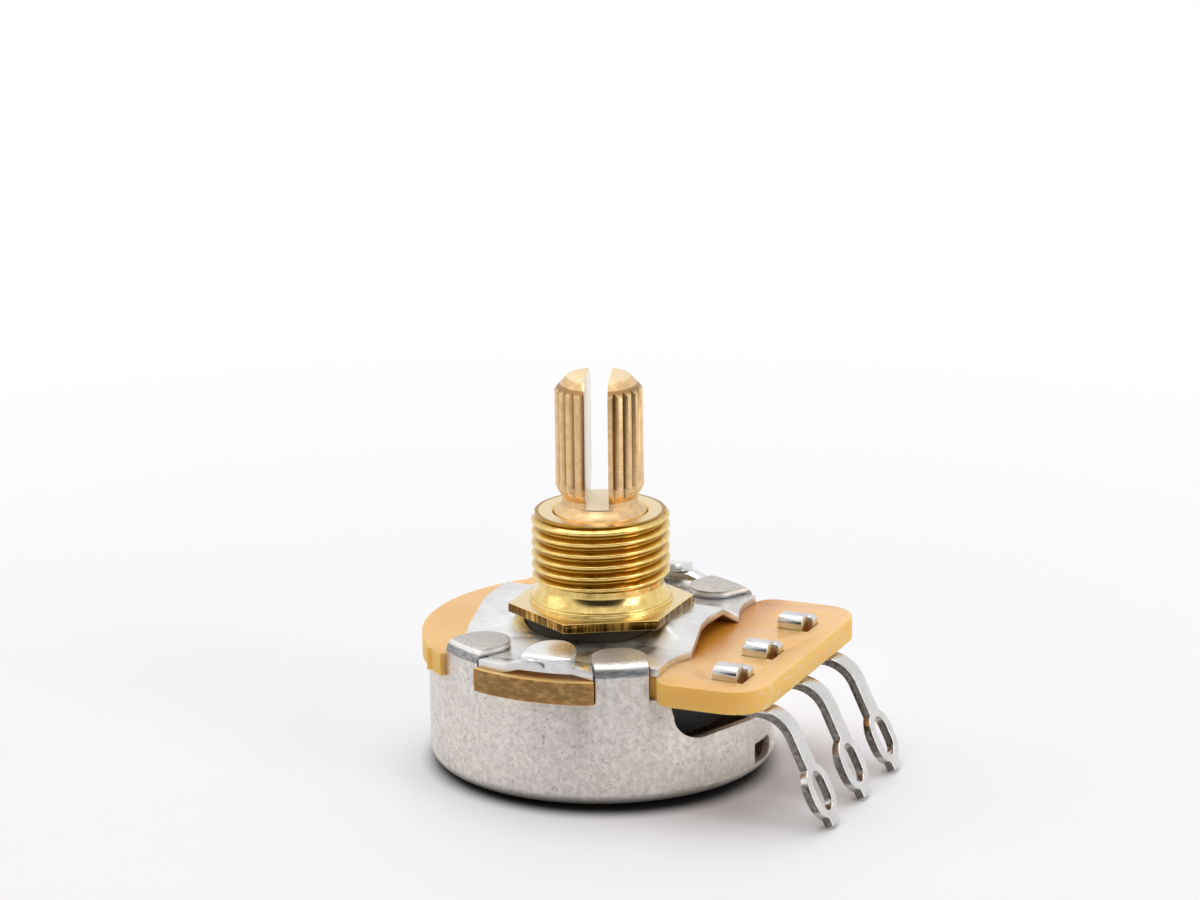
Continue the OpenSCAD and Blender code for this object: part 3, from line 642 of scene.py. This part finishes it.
@dataclass(frozen=True)
class Laminate:
    """Waxed paper laminate: smooth glowing faces and paler fibrous cut edges.

    The top has a painted shadow of deeper orange beside the plate, and the front edge between the front
    tabs has painted shade, brown with paler streaks.
    """

    name: str
    colour: Colour = (0.92, 0.56, 0.225)
    # Deeper orange, for the top's mottle and for the painted shadow beside the plate.
    mottle_and_shadow_orange: Colour = (0.55, 0.20, 0.015)
    cut: Colour = (0.98, 0.57, 0.13)
    fibre: Colour = (0.88, 0.63, 0.40)
    # Painted shade on the front edge between the front tabs.
    shaded: Colour = (0.27, 0.155, 0.045)
    segment_half: float = 5.5
    front_y: tuple[float, float] = (-9.0, -9.6)
    # Where the plate's painted shadow lies on the top.
    plate_shadow_low: float = 5.0
    plate_shadow_x: tuple[float, float] = (11.2, 8.0)
    plate_shadow_y: tuple[float, float] = (-6.5, -3.0)

    def make(self, effects: Effects) -> bpy.types.Material:
        """Builds the material.

        Args:
            effects: The shared effects.

        Returns:
            The material.
        """
        material, sheet, shader, vector = new_material(self.name)
        spots = effects.speckle.place(sheet, vector, Scale=0.7)
        clumps = sheet.noise(sheet.stretch(vector, (1.0, 1.0, 2.2)), 1.6, 4.0, 0.65)
        sides, parts = sheet.facing(), sheet.parts(vector)
        edge = sheet.remap(sheet.maths("ABSOLUTE", sides[2]), 0.75, 0.35)
        end = sheet.remap(sides[0], 0.3, 0.9)
        top = sheet.mix(sheet.times(spots["Mottle"], 0.15), self.colour, self.mottle_and_shadow_orange)
        # Painted shadow of the plate: a deeper orange on the top beside it.
        plate_shadow = sheet.times(sheet.remap(parts[0], *self.plate_shadow_x), sheet.remap(parts[1], *self.plate_shadow_y))
        plate_shadow = sheet.times(plate_shadow, sheet.maths("GREATER_THAN", parts[0], self.plate_shadow_low))
        top = sheet.mix(sheet.times(plate_shadow, 0.95), top, self.mottle_and_shadow_orange)
        rough_cut = sheet.mix(sheet.remap(clumps, 0.46, 0.72), self.cut, self.fibre)
        cut = sheet.mix(sheet.remap(end, 0.0, 1.0, 0.30, 1.0), self.cut, rough_cut)
        # Painted shade, brown with paler streaks, on the front edge between the front tabs.
        middle = sheet.maths("LESS_THAN", sheet.maths("ABSOLUTE", parts[0]), self.segment_half)
        front = sheet.times(sheet.remap(parts[1], *self.front_y), middle)
        streaks = sheet.mix(sheet.remap(clumps, 0.42, 0.75, 0.0, 0.55), self.shaded, self.colour)
        cut = sheet.mix(front, cut, streaks)
        sheet.fill(shader, Base_Color=sheet.mix(sheet.times(edge, 0.9), top, cut),
                   Roughness=sheet.remap(edge, 0.0, 1.0, 0.24, 0.50), Specular_IOR_Level=0.16,
                   Subsurface_Weight=0.5, Subsurface_Radius=(1.0, 0.42, 0.12), Subsurface_Scale=1.2 * MM,
                   Coat_Weight=0.06, Coat_Roughness=0.2)
        sheet.bump(shader, 0.45, 0.04, sheet.times(edge, clumps))
        return material


@dataclass(frozen=True)
class Moulding:
    """Plain dark moulding or print with a fine tooth."""

    name: str
    colour: Colour = (0.03, 0.03, 0.034)
    rough: float = 0.5
    metal: float = 0.0

    def make(self, effects: Effects) -> bpy.types.Material:
        """Builds the material.

        Args:
            effects: The shared effects.

        Returns:
            The material.
        """
        material, sheet, shader, vector = new_material(self.name)
        spots = effects.speckle.place(sheet, vector, Scale=1.2)
        pale = tuple(min(1.0, part * 1.25 + 0.01) for part in self.colour)
        satin = sheet.remap(spots["Mottle"], 0.0, 1.0, self.rough - 0.06, self.rough + 0.06)
        sheet.fill(shader, Base_Color=sheet.mix(spots["Grain"], self.colour, pale), Roughness=satin,
                   Metallic=self.metal)
        sheet.bump(shader, 0.1, 0.02, spots["Grain"])
        return material


# Meshes


def add_mesh(name: str, points: np.ndarray, quads: np.ndarray) -> bpy.types.Object:
    """Puts points and quads into a new smooth mesh object.

    Args:
        name: The object's name.
        points: Places in millimetres, one row each.
        quads: Four indices a row.

    Returns:
        The object, at the origin.
    """
    mesh = bpy.data.meshes.new(name)
    mesh.vertices.add(len(points))
    mesh.vertices.foreach_set("co", (points * MM).astype(np.float32).ravel())
    mesh.loops.add(quads.size)
    mesh.loops.foreach_set("vertex_index", quads.astype(np.int32).ravel())
    mesh.polygons.add(len(quads))
    mesh.polygons.foreach_set("loop_start", np.arange(0, quads.size, 4, dtype=np.int32))
    mesh.update(calc_edges=True)
    mesh.validate()
    mesh.shade_smooth()
    made = bpy.data.objects.new(name, mesh)
    bpy.context.scene.collection.objects.link(made)
    return made


def ring_quads(rows: int, around: int) -> np.ndarray:
    """Quads of a grid that closes both ways, as on a torus.

    The quad at row i and column j joins (i, j), (i, j + 1), (i + 1, j + 1) and (i + 1, j), where the last
    row is followed by the first and the last column by the first.

    Args:
        rows: Number of rows.
        around: Points in each row.

    Returns:
        Four indices a row.
    """
    i, j = np.meshgrid(np.arange(rows), np.arange(around), indexing="ij")
    nxt_i, nxt_j = (i + 1) % rows, (j + 1) % around
    return np.stack([i * around + j, i * around + nxt_j, nxt_i * around + nxt_j, nxt_i * around + j],
                    axis=-1).reshape(-1, 4)


def rounded(corners: np.ndarray, radii: np.ndarray) -> np.ndarray:
    """Rounds the corners of a closed profile.

    Each corner becomes a short curve: the quadratic arc from a point on the way in to a point on the way
    out, pulled to the corner, where both points lie one radius from it.

    Args:
        corners: Corner places, one row each.
        radii: One radius a corner.

    Returns:
        The rounded profile's rows, with further columns carried along.
    """
    before, after = np.roll(corners, 1, axis=0), np.roll(corners, -1, axis=0)
    way_in, way_out = before - corners, after - corners
    long_in = np.linalg.norm(way_in[:, :2], axis=1, keepdims=True)
    long_out = np.linalg.norm(way_out[:, :2], axis=1, keepdims=True)
    reach = np.minimum(radii[:, None], 0.45 * np.minimum(long_in, long_out))
    start, end = corners + way_in / long_in * reach, corners + way_out / long_out * reach
    t = np.linspace(0.0, 1.0, CORNER_STEPS)[None, :, None]
    curve = (1 - t) ** 2 * start[:, None] + 2 * t * (1 - t) * corners[:, None] + t ** 2 * end[:, None]
    return curve.reshape(-1, corners.shape[1])


def smooth_step(value: np.ndarray, low: float, high: float) -> np.ndarray:
    """Rises from 0 to 1 between two values with level ends."""
    t = np.clip((value - low) / (high - low), 0.0, 1.0)
    return t * t * (3 - 2 * t)


def softened_copy(node: str, name: str, width: float, segments: int = 3,
                  sharp: float = 28.0) -> bpy.types.Object:
    """Copies a CAD node's mesh, merges its loose triangles and rounds its sharp edges.

    Args:
        node: The CAD node.
        name: The new object's name.
        width: Width of the rounded edges in millimetres.
        segments: Faces across each rounded edge.
        sharp: Edges bent more than this many degrees are rounded.

    Returns:
        The new object, which stands for the node.
    """
    mesh = bpy.data.objects[node].data.copy()
    mesh.name = name
    work = bmesh.new()
    work.from_mesh(mesh)
    bmesh.ops.remove_doubles(work, verts=work.verts, dist=MERGE_GAP * MM)
    bmesh.ops.dissolve_limit(work, angle_limit=np.radians(FLAT_DEGREES), verts=work.verts, edges=work.edges)
    work.to_mesh(mesh)
    work.free()
    mesh.shade_smooth()
    made = bpy.data.objects.new(name, mesh)
    bpy.context.scene.collection.objects.link(made)
    bevel = made.modifiers.new("rounded edges", "BEVEL")
    bevel.width, bevel.segments = width * MM, segments
    bevel.limit_method, bevel.angle_limit = "ANGLE", np.radians(sharp)
    bevel.harden_normals = True
    bevel.miter_outer = "MITER_ARC"
    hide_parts(node)
    return made


def finish_piece(made: bpy.types.Object, body: Body, material: bpy.types.Material) -> None:
    """Gives a piece its body and its material, and reports it.

    Args:
        made: The piece.
        body: The body that it rides on.
        material: Its material.
    """
    made.data.materials.clear()
    made.data.materials.append(material)
    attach(made, body.value)
    log.info("%s: %d faces", made.name, len(made.data.polygons))


def dress_node(node: str, material: bpy.types.Material) -> None:
    """Gives a CAD node that stays its material, and reports it.

    Args:
        node: The node.
        material: Its material.
    """
    shown = bpy.data.objects[node]
    shown.data.materials.clear()
    shown.data.materials.append(material)
    log.info("%s: kept with its new finish", node)


# Sub-assemblies


@dataclass
class Housing:
    """The stamped can, the laminate board and the folded plate."""

    can_edge: float = 0.10
    board_edge: float = 0.09
    plate_edge: float = 0.06
    fold: tuple[float, float] = (9.12, 9.66)
    seat_r: float = 5.42

    def build(self, effects: Effects) -> None:
        """Makes the three sheet pieces.

        Args:
            effects: The shared effects.
        """
        can = softened_copy("can", "can_shell", self.can_edge)
        steel = PlatedSteel("plated_steel", fold=self.fold)
        finish_piece(can, Body.HOUSING, steel.make(effects))
        board = softened_copy("terminal_board", "laminate_board", self.board_edge)
        finish_piece(board, Body.HOUSING, Laminate("laminate").make(effects))
        plate = softened_copy("mounting_plate", "folded_plate", self.plate_edge)
        tin = TinPlate("tin_plate", rough=0.30, shade_r=self.seat_r)
        finish_piece(plate, Body.HOUSING, tin.make(effects))


@dataclass
class Bushing:
    """The turned bushing: one closed surface with a helical thread and a hexagonal flange."""

    low: float = 9.4475
    platform: float = 9.7475
    seat: float = 10.2975
    hex_top: float = 10.9475
    top: float = 17.3425
    bore_r: float = 3.2
    neck_r: float = 4.0
    rivet_r: float = 4.6
    half_flat: float = 5.555
    step_r: float = 4.95
    step_h: float = 0.3
    step_lip: float = 0.1
    lip_h: float = 0.04
    corner_radii: tuple[float, ...] = (0.05, 0.05, 0.05, 0.05, 0.02, 0.05, 0.05, 0.02, 0.05, 0.01, 0.04,
                                       0.04, 0.04)
    crest_r: float = 4.7625
    root_r: float = 4.32
    chamfer: float = 0.305
    mouth: float = 0.15
    flare_foot: float = 0.05
    flare_h: float = 0.95
    flare_power: float = 1.7
    flare_count: int = 14
    pitch: float = 0.79375
    crest_z: float = 16.91
    crest_side: float = -66.4
    crest_flat: float = 0.13
    crest_soft: float = 0.018
    thread_low: float = 12.62
    thread_lead: float = 0.3
    thread_fade: float = 0.22
    edge_gap: float = 0.02
    nick_side: float = 9.0
    nick_half: float = 0.07
    nick_depth: float = 0.10
    nick_z: tuple[float, float] = (17.0, 17.1)
    around: int = 300
    rows_a_turn: int = 26

    def flare_rows(self) -> np.ndarray:
        """The hollow flare above the step, down from the plain band.

        The radius grows as a power of the way down, so the flare leaves the band without a corner.

        Returns:
            Rows of radius, height and 0, from the foot up.
        """
        t = np.linspace(1.0, 0.0, self.flare_count)
        height = self.hex_top + self.step_h + self.flare_foot + t * self.flare_h
        radius = self.root_r + (self.step_r - self.step_lip - self.root_r) * (1 - t) ** self.flare_power
        return np.stack([radius, height, np.zeros_like(t)], axis=1)[::-1]

    def profile(self) -> np.ndarray:
        """The section of the bushing, once round.

        Returns:
            Rows of radius, height and share of the hexagon.
        """
        step_top = self.hex_top + self.step_h
        below = np.array([
            [self.bore_r, self.low, 0], [self.rivet_r, self.low, 0], [self.rivet_r, self.platform, 0],
            [self.neck_r, self.platform, 0], [self.neck_r, self.seat, 0], [self.half_flat, self.seat, 1],
            [self.half_flat, self.hex_top, 1], [self.step_r, self.hex_top, 0], [self.step_r, step_top, 0],
            [self.step_r - self.step_lip, step_top + self.lip_h, 0]])
        above = np.array([
            [self.crest_r - self.chamfer, self.top, 0], [self.bore_r + self.mouth, self.top, 0],
            [self.bore_r, self.top - self.mouth, 0]])
        bends = rounded(np.vstack([below, above]), np.array(self.corner_radii))
        split = CORNER_STEPS * len(below)
        count = int((self.top - self.chamfer - self.thread_low) / self.pitch * self.rows_a_turn)
        height = np.linspace(self.thread_low - self.thread_lead, self.top - self.edge_gap, count)
        thread = np.stack([np.full(count, self.root_r), height, np.zeros(count)], axis=1)
        return np.vstack([bends[:split], self.flare_rows(), thread, bends[split:]])

    def thread_radius(self, angle: np.ndarray, height: np.ndarray) -> np.ndarray:
        """Radius of the thread at each place.

        The distance from the nearest crest, along the axis, is the height less the helix's height at that
        angle, folded into half a pitch. The radius is the crest's over a narrow flat, falls along straight
        30 degree flanks, and levels out at the root. A cone cuts it at the top, and it fades out below.

        Args:
            angle: Angles about the axis.
            height: Heights.

        Returns:
            The radii.
        """
        turn = (height - self.crest_z) / self.pitch - (angle - np.radians(self.crest_side)) / (2 * np.pi)
        away = np.abs(turn - np.round(turn)) * self.pitch
        soft = self.crest_soft
        drop = np.maximum(away - self.crest_flat / 2, 0.0) * np.sqrt(3.0)
        drop = np.sqrt(drop ** 2 + soft ** 2) - soft
        depth = self.crest_r - self.root_r
        drop = depth - (np.sqrt((depth - drop).clip(0) ** 2 + soft ** 2) - soft)
        grown = smooth_step(height, self.thread_low, self.thread_low + self.thread_fade)
        radius = self.root_r + (self.crest_r - drop - self.root_r).clip(0) * grown
        nick = np.exp(-((angle - np.radians(self.nick_side)) / self.nick_half) ** 4)
        nick = nick * smooth_step(height, *self.nick_z)
        cone = self.crest_r - self.chamfer + (self.top - height) - self.nick_depth * nick
        return np.minimum(radius, cone)

    def build(self, effects: Effects) -> None:
        """Makes the bushing.

        A point's distance from the axis is the row's radius, or for the flange's rows the hexagon's: half
        the distance over the flats divided by the cosine of the angle from the nearest flat's middle.

        Args:
            effects: The shared effects.
        """
        rows = self.profile()
        angle = np.linspace(0.0, 2 * np.pi, self.around, endpoint=False)[None, :]
        radius = np.repeat(rows[:, :1], self.around, axis=1)
        height = np.repeat(rows[:, 1:2], self.around, axis=1)
        off_flat = np.mod(angle + np.pi / 6, np.pi / 3) - np.pi / 6
        radius = radius * (1 + rows[:, 2:3] * (1 / np.cos(off_flat) - 1))
        high = rows[:, 1] >= self.thread_low - self.thread_lead
        threaded = (rows[:, 2] == 0) & (rows[:, 0] == self.root_r) & high
        radius[threaded] = self.thread_radius(angle, height[threaded])
        points = np.stack([radius * np.cos(angle), radius * np.sin(angle), height], axis=-1)
        brass = TurnedBrass("brass", sides=(self.seat, self.hex_top - self.edge_gap),
                            valleys=(self.root_r, self.crest_r, self.thread_low))
        made = add_mesh("threaded_bushing", points.reshape(-1, 3), ring_quads(len(rows), self.around))
        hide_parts("bushing")
        finish_piece(made, Body.HOUSING, brass.make(effects))


@dataclass
class ShaftGroup:
    """The splined shaft, and the ring, rotor and wiper that turn with it."""

    spline_edge: float = 0.035
    slot_angle: float = 109.0
    slot_half: float = 0.81
    slot_floor: float = 17.97
    spline_root: float = 2.72
    spline_crest: float = 3.0
    spline_low: float = 19.4

    def build(self, effects: Effects) -> None:
        """Makes the shaft and dresses what turns with it.

        Args:
            effects: The shared effects.
        """
        shaft = softened_copy("shaft", "splined_shaft", self.spline_edge, 2)
        # The splines' grooves get a painted shade.
        brass = TurnedBrass("shaft_brass", (0.84, 0.58, 0.30), (0.50, 0.31, 0.14), 0.30, 0.25,
                            slot=(self.slot_angle, self.slot_half, self.slot_floor),
                            valleys=(self.spline_root, self.spline_crest, self.spline_low),
                            valley_shade=(0.36, 0.20, 0.075))
        finish_piece(shaft, Body.SHAFT_ROTOR, brass.make(effects))
        ring_steel = PlatedSteel("spring_steel", (0.40, 0.40, 0.42), (0.2, 0.2, 0.2))
        dress_node("retaining_ring", ring_steel.make(effects))
        dress_node("rotor", Moulding("moulding").make(effects))
        bronze = TinPlate("spring_bronze", (0.72, 0.54, 0.32), (0.5, 0.35, 0.2), 0.2)
        dress_node("wiper", bronze.make(effects))


@dataclass
class Contacts:
    """The three terminals and the prints under the board."""

    edge: float = 0.06

    def build(self, effects: Effects) -> None:
        """Makes the terminals and dresses the prints.

        Args:
            effects: The shared effects.
        """
        tin = TinPlate("terminal_tin", (0.77, 0.76, 0.74), (0.30, 0.285, 0.27), 0.24, 0.0,
                       (0.13, 0.105, 0.085), specks=0.40).make(effects)
        for place in ("front", "middle", "back"):
            made = softened_copy(f"{place}_terminal", f"{place}_lug", self.edge)
            finish_piece(made, Body.HOUSING, tin)
        dress_node("resistive_track", Moulding("carbon", (0.02, 0.02, 0.022), 0.7).make(effects))
        ink = Moulding("silver_ink", (0.62, 0.62, 0.61), 0.45, 0.8).make(effects)
        for node in ("front_contact_pad", "back_contact_pad", "collector_track"):
            dress_node(node, ink)


# Camera and studio


@dataclass
class PhotoCamera:
    """The camera that was fitted to the photograph of 1200 by 900 pixels."""

    width_px: float = 1200.0
    focal_px: float = 4948.91
    azimuth: float = -66.381
    elevation: float = 17.751
    roll: float = 0.746
    target_px: tuple[float, float] = (-0.542, 161.4)
    target: tuple[float, float, float] = (0.0, 0.0, 10.0)
    distance: float = 340.0
    sensor: float = 36.0
    clip: tuple[float, float] = (0.01, 10.0)

    def back(self) -> np.ndarray:
        """Finds the way from the target to the camera.

        Returns:
            A direction of length 1.
        """
        a, e = np.radians([self.azimuth, self.elevation])
        return np.array([np.cos(e) * np.cos(a), np.cos(e) * np.sin(a), np.sin(e)])

    def axes(self) -> np.ndarray:
        """Finds the camera's directions in the world.

        The plain view looks at the target. It is then turned so that the target falls on its pixel, by the
        least turn that takes the middle ray to that pixel's ray, and rolled about the middle ray.

        Returns:
            Rows of right, up and forward.
        """
        r, back = np.radians(self.roll), self.back()
        right = np.cross(-back, [0.0, 0.0, 1.0])
        right /= np.linalg.norm(right)
        plain = np.stack([right, np.cross(right, -back), -back])
        ray = np.array([self.target_px[0], -self.target_px[1], self.focal_px])
        ray /= np.linalg.norm(ray)
        turn_axis = np.cross([0.0, 0.0, 1.0], ray)
        cross = np.array([[0, -turn_axis[2], turn_axis[1]], [turn_axis[2], 0, -turn_axis[0]],
                          [-turn_axis[1], turn_axis[0], 0]])
        turn = np.eye(3) + cross + cross @ cross / (1 + ray[2])
        rolled = np.array([[np.cos(r), -np.sin(r), 0], [np.sin(r), np.cos(r), 0], [0, 0, 1]])
        return rolled @ turn @ plain

    def build(self) -> None:
        """Makes the scene's camera."""
        place = np.array(self.target) + self.distance * self.back()
        right, up, forward = self.axes()
        data = bpy.data.cameras.new("photo_camera")
        data.sensor_fit, data.sensor_width = "HORIZONTAL", self.sensor
        data.lens = self.focal_px * self.sensor / self.width_px
        data.clip_start, data.clip_end = self.clip
        camera = bpy.data.objects.new("photo_camera", data)
        bpy.context.scene.collection.objects.link(camera)
        matrix = np.eye(4)
        matrix[:3, 0], matrix[:3, 1], matrix[:3, 2], matrix[:3, 3] = right, up, -forward, place * MM
        camera.matrix_world = Matrix(matrix.tolist())
        bpy.context.scene.camera = camera
        log.info("camera: lens %.2f mm", data.lens)


@dataclass
class Lamp:
    """A rectangular soft lamp, aimed at a point."""

    name: str
    place: tuple[float, float, float]
    size: tuple[float, float]
    watts: float
    aim: tuple[float, float, float] = (0.0, 0.0, 10.0)

    def build(self) -> None:
        """Makes the lamp."""
        data = bpy.data.lights.new(self.name, "AREA")
        data.shape, data.size, data.size_y = "RECTANGLE", self.size[0] * MM, self.size[1] * MM
        data.energy = self.watts
        lamp = bpy.data.objects.new(self.name, data)
        bpy.context.scene.collection.objects.link(lamp)
        place, aim = Vector(self.place) * MM, Vector(self.aim) * MM
        turned = (aim - place).to_track_quat("-Z", "Y").to_matrix().to_4x4()
        lamp.matrix_world = Matrix.Translation(place) @ turned


@dataclass
class Studio:
    """A pale sheet as the floor, a white surround and soft lamps."""

    floor_r: float = 900.0
    floor_gap: float = 0.02
    left_foot_x: float = -10.9
    tip_x: float = 19.7
    tip_z: float = -0.59
    # Painted contact shadow on the paper under the can.
    contact_shadow_r: float = 10.5
    contact_shadow_fade: float = 2.3
    contact_shadow_place: tuple[float, float, float] = (0.25, -0.75, 0.0)
    contact_shadow: Colour = (0.03, 0.028, 0.026)
    paper: Colour = (0.89, 0.882, 0.90)
    paper_glow: Colour = (0.93, 0.915, 0.94)
    white: Colour = (1.0, 1.0, 1.0)
    glow_depth: float = 40.0
    glow_span: tuple[float, float] = (24.0, 120.0)
    eye_side: tuple[float, float, float] = (0.40, -0.916, 0.0)
    gloss_dark: Colour = (0.035, 0.033, 0.03)
    gloss_pale: Colour = (0.95, 0.95, 0.96)
    matt_dark: Colour = (0.12, 0.12, 0.12)
    matt_pale: Colour = (0.70, 0.70, 0.71)
    high_span: tuple[float, float] = (0.62, 0.80)
    gloss_span: tuple[float, float] = (0.80, 0.45)
    matt_span: tuple[float, float] = (0.55, -0.25)
    lamps: list[Lamp] = field(default_factory=lambda: [
        Lamp("top_lamp", (-60, 60, 420), (420, 420), 0.9),
        Lamp("left_lamp", (-380, -160, 190), (260, 320), 0.12),
        Lamp("right_lamp", (420, -60, 160), (200, 320), 0.5),
    ])

    def paper_sheet(self) -> bpy.types.Material:
        """Makes the floor's material: pale paper, a painted shadow under the can, that glows white far
        away.

        Returns:
            The material.
        """
        material, sheet, shader, vector = new_material("pale_sheet")
        # Painted contact shadow: the paper turns dark near a point under the can.
        shadow_distance = sheet.compare("DISTANCE", vector, self.contact_shadow_place)
        past_shadow = sheet.remap(shadow_distance, self.contact_shadow_r, self.contact_shadow_r + self.contact_shadow_fade)
        sheet.fill(shader, Base_Color=sheet.mix(past_shadow, self.contact_shadow, self.paper), Roughness=0.6)
        away = sheet.remap(sheet.parts(vector)[1], -self.glow_depth, self.glow_depth)
        glow = sheet.put("Emission", None, Color=sheet.mix(away, self.paper_glow, self.white), Strength=1.0)
        far = sheet.remap(sheet.radius(vector), *self.glow_span)
        path = sheet.put("LightPath").outputs
        seen = sheet.maths("MAXIMUM", path["Is Camera Ray"], path["Is Glossy Ray"])
        mixed = sheet.put("MixShader")
        sheet.feed(mixed.inputs[0], sheet.times(far, seen))
        sheet.feed(mixed.inputs[1], shader.outputs[0])
        sheet.feed(mixed.inputs[2], glow.outputs[0])
        sheet.fill(material.node_tree.nodes["Material Output"], Surface=mixed.outputs[0])
        return material

    def floor(self) -> None:
        """A disc of rings that rests against the can's far bottom edge and the terminals' tips.

        Its height is a plane through both, and its radius grows as the square of the ring's number. Its
        quads are a closed grid's without the last row, turned over so that they face up.
        """
        rings, around = 24, 96
        grow = np.linspace(0.0, 1.0, rings)[:, None] ** 2
        angle = np.linspace(0.0, 2 * np.pi, around, endpoint=False)[None, :]
        x, y = self.floor_r * grow * np.cos(angle), self.floor_r * grow * np.sin(angle)
        slope = self.tip_z / (self.tip_x - self.left_foot_x)
        z = slope * (x - self.left_foot_x) - self.floor_gap
        quads = ring_quads(rings, around)[:-around, ::-1]
        made = add_mesh("floor", np.stack([x, y, z], axis=-1).reshape(-1, 3), quads)
        made.data.materials.append(self.paper_sheet())

    def surround(self) -> None:
        """A white surround for the eye and for gloss, and a grey light for matt faces.

        Both are dark on the side of the eye, up to a height.
        """
        world = bpy.data.worlds.new("surround")
        bpy.context.scene.world = world
        world.use_nodes = True
        sheet = Sheet(world.node_tree)
        path = sheet.put("LightPath").outputs
        way = sheet.put("TexCoord").outputs["Generated"]
        eye = sheet.compare("DOT_PRODUCT", way, self.eye_side)
        high = sheet.remap(sheet.parts(way)[2], *self.high_span)
        side, behind = sheet.remap(eye, *self.gloss_span), sheet.remap(eye, *self.matt_span)
        gloss = sheet.mix(sheet.maths("MAXIMUM", side, high), self.gloss_dark, self.gloss_pale)
        matt = sheet.mix(sheet.maths("MAXIMUM", behind, high), self.matt_dark, self.matt_pale)
        plain = sheet.mix(path["Is Camera Ray"], matt, self.white)
        shown = sheet.mix(path["Is Glossy Ray"], plain, gloss)
        sheet.fill(world.node_tree.nodes["Background"], Color=shown, Strength=1.0)

    def build(self) -> None:
        """Makes the floor, the surround and the lamps."""
        self.floor()
        self.surround()
        for lamp in self.lamps:
            lamp.build()
        log.info("studio: %d lamps", len(self.lamps))


def main() -> None:
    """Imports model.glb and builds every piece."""
    logging.basicConfig(level=logging.INFO, format="%(name)s: %(message)s")
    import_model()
    effects = Effects()
    PhotoCamera().build()
    Housing().build(effects)
    Bushing().build(effects)
    ShaftGroup().build(effects)
    Contacts().build(effects)
    Studio().build()
    bpy.context.scene.view_settings.view_transform = "Standard"


if __name__ == "__main__":
    main()
